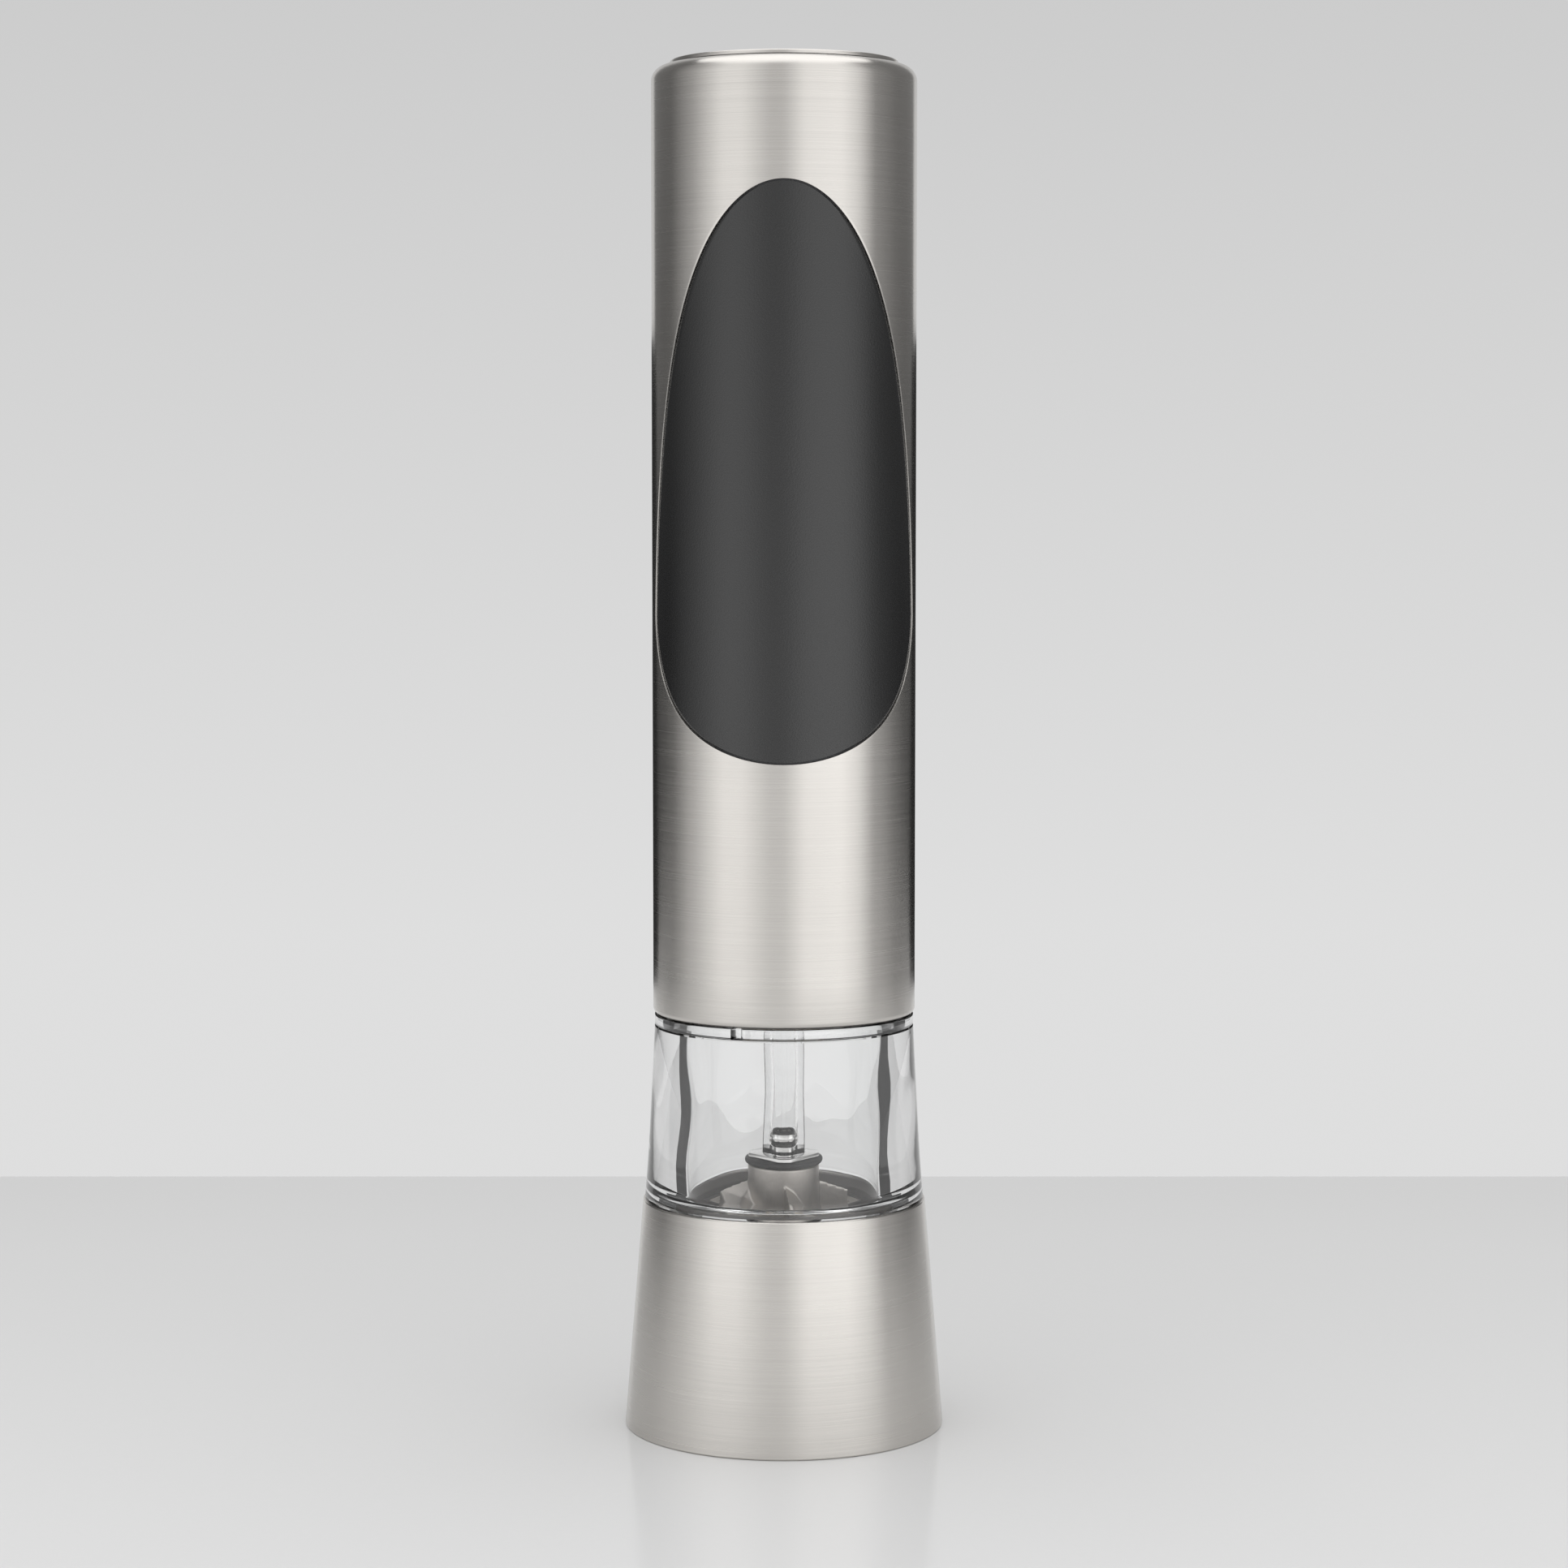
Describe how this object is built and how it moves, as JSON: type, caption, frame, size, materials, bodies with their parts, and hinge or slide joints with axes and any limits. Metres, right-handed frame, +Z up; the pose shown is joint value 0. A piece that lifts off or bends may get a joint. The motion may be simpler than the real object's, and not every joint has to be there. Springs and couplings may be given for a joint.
{
  "type": "battery pepper mill",
  "caption": "Tall round battery pepper mill: flared steel base, clear pepper chamber with a through drive shaft, steel sleeve with an egg-shaped rubber grip and a push-button top.",
  "frame": {"origin": "centre of the base's underside", "axes": "+Z up along the mill, +Y to the back, +X to the right as seen from the front"},
  "size_m": [0.0508, 0.0508, 0.215],
  "materials": {
    "brushed_steel": "fine brushing round the axis",
    "clear_plastic": "clear polished acrylic",
    "grip_rubber": "fine matte grain",
    "zinc_casting": "satin cast metal",
    "ceramic_burr": "fired ceramic, matt",
    "black_plastic": "moulded, satin",
    "grey_plastic": "moulded, satin",
    "white_nylon": "natural nylon",
    "seal_rubber": "matte",
    "brass": "plain",
    "battery_label": "printed sleeve, no lettering",
    "polished_steel": "polished",
    "screw_steel": "plain"
  },
  "bodies": {
    "base": {"base_skirt": "brushed_steel", "base_liner": "black_plastic", "grinder_cup": "black_plastic", "grinder_screw_1": "screw_steel", "grinder_screw_2": "screw_steel", "grinder_screw_3": "screw_steel", "chamber_seal": "seal_rubber", "chamber": "clear_plastic"},
    "adjuster": {"adjuster_dial": "grey_plastic"},
    "stator": {"stator_carrier": "black_plastic", "stator_burr": "ceramic_burr"},
    "collar": {"bayonet_collar": "clear_plastic"},
    "grinder_rotor": {"drive_shaft": "clear_plastic", "ball_stud": "polished_steel", "hub_cap_disc": "polished_steel", "hub_seal_ring": "seal_rubber", "feed_rotor": "zinc_casting", "rotor_burr": "ceramic_burr", "rotor_bolt": "screw_steel", "rotor_washer": "polished_steel"},
    "motor_unit": {"unit_plate": "grey_plastic", "unit_screw_1": "screw_steel", "unit_screw_2": "screw_steel", "unit_screw_3": "screw_steel", "neck_seal": "seal_rubber", "output_bush": "brass", "drive_housing": "grey_plastic", "ring_gear": "white_nylon", "gearbox_cover": "grey_plastic", "motor_can": "screw_steel", "motor_end_cap": "black_plastic", "battery_holder": "grey_plastic", "battery_1": "battery_label", "battery_2": "battery_label", "battery_3": "battery_label", "battery_4": "battery_label", "lower_contact_front": "brass", "lower_contact_rear": "brass", "upper_contact_left": "brass", "upper_contact_right": "brass", "switch_body": "black_plastic"},
    "output_stage": {"output_carrier": "white_nylon"},
    "upper_stage": {"upper_carrier": "white_nylon"},
    "motor_rotor": {"motor_shaft": "polished_steel", "motor_pinion": "brass"},
    "plunger": {"switch_plunger": "white_nylon"},
    "sleeve": {"steel_tube": "brushed_steel", "sleeve_liner": "grey_plastic", "front_grip": "grip_rubber", "rear_grip": "grip_rubber", "button_guide": "black_plastic", "button_spring": "polished_steel"},
    "button": {"button_core": "black_plastic", "button_cap": "brushed_steel"},
    "lower_planet_1": {"lower_planet_1": "white_nylon"},
    "lower_planet_2": {"lower_planet_2": "white_nylon"},
    "lower_planet_3": {"lower_planet_3": "white_nylon"},
    "upper_planet_1": {"upper_planet_1": "white_nylon"},
    "upper_planet_2": {"upper_planet_2": "white_nylon"},
    "upper_planet_3": {"upper_planet_3": "white_nylon"}
  },
  "joints": [
    {"name": "grind_adjust", "type": "hinge", "parent": "base", "child": "adjuster", "pos_m": [0, 0, 0.01], "axis": [0, 0, 1], "range_deg": [-90, 90]},
    {"name": "stator_lift", "type": "slide", "parent": "base", "child": "stator", "axis": [0, 0, 1], "range_m": [-0.0004, 0.0004]},
    {"name": "twist_lock", "type": "hinge", "parent": "base", "child": "collar", "pos_m": [0, 0, 0.065], "axis": [0, 0, 1], "range_deg": [0, 25]},
    {"name": "grinder_spin", "type": "hinge", "parent": "collar", "child": "grinder_rotor", "pos_m": [0, 0, 0.03], "axis": [0, 0, 1], "continuous": true},
    {"name": "lift_off", "type": "slide", "parent": "collar", "child": "motor_unit", "axis": [0, 0, 1], "range_m": [0, 0.04]},
    {"name": "output_spin", "type": "hinge", "parent": "motor_unit", "child": "output_stage", "pos_m": [0, 0, 0.075], "axis": [0, 0, 1], "continuous": true},
    {"name": "upper_stage_spin", "type": "hinge", "parent": "motor_unit", "child": "upper_stage", "pos_m": [0, 0, 0.084], "axis": [0, 0, 1], "continuous": true},
    {"name": "motor_spin", "type": "hinge", "parent": "motor_unit", "child": "motor_rotor", "pos_m": [0, 0, 0.1], "axis": [0, 0, 1], "continuous": true},
    {"name": "sleeve_pull", "type": "slide", "parent": "motor_unit", "child": "sleeve", "axis": [0, 0, 1], "range_m": [0, 0.15]},
    {"name": "button_press", "type": "slide", "parent": "sleeve", "child": "button", "axis": [0, 0, -1], "range_m": [0, 0.0015], "stiffness_N_per_m": 400, "springref_m": -0.002, "deforming": ["button_spring"]},
    {"name": "plunger_press", "type": "slide", "parent": "motor_unit", "child": "plunger", "axis": [0, 0, -1], "range_m": [0, 0.0015]},
    {"name": "lower_planet_1_spin", "type": "hinge", "parent": "output_stage", "child": "lower_planet_1", "pos_m": [0.0075, 0, 0.079], "axis": [0, 0, 1], "continuous": true},
    {"name": "lower_planet_2_spin", "type": "hinge", "parent": "output_stage", "child": "lower_planet_2", "pos_m": [-0.00375, 0.0065, 0.079], "axis": [0, 0, 1], "continuous": true},
    {"name": "lower_planet_3_spin", "type": "hinge", "parent": "output_stage", "child": "lower_planet_3", "pos_m": [-0.00375, -0.0065, 0.079], "axis": [0, 0, 1], "continuous": true},
    {"name": "upper_planet_1_spin", "type": "hinge", "parent": "upper_stage", "child": "upper_planet_1", "pos_m": [0.0075, 0, 0.088], "axis": [0, 0, 1], "continuous": true},
    {"name": "upper_planet_2_spin", "type": "hinge", "parent": "upper_stage", "child": "upper_planet_2", "pos_m": [-0.00375, 0.0065, 0.088], "axis": [0, 0, 1], "continuous": true},
    {"name": "upper_planet_3_spin", "type": "hinge", "parent": "upper_stage", "child": "upper_planet_3", "pos_m": [-0.00375, -0.0065, 0.088], "axis": [0, 0, 1], "continuous": true}
  ],
  "couplings": [
    {"joint": "stator_lift", "follows": "grind_adjust", "m_per_rad": 0.000254},
    {"joint": "grinder_spin", "follows": "output_spin", "ratio": 1},
    {"joint": "upper_stage_spin", "follows": "output_spin", "ratio": 5},
    {"joint": "motor_spin", "follows": "output_spin", "ratio": 25},
    {"joint": "plunger_press", "follows": "button_press", "ratio": 1},
    {"joint": "lower_planet_1_spin", "follows": "output_spin", "ratio": -2.6667},
    {"joint": "lower_planet_2_spin", "follows": "output_spin", "ratio": -2.6667},
    {"joint": "lower_planet_3_spin", "follows": "output_spin", "ratio": -2.6667},
    {"joint": "upper_planet_1_spin", "follows": "output_spin", "ratio": -13.333},
    {"joint": "upper_planet_2_spin", "follows": "output_spin", "ratio": -13.333},
    {"joint": "upper_planet_3_spin", "follows": "output_spin", "ratio": -13.333}
  ]
}
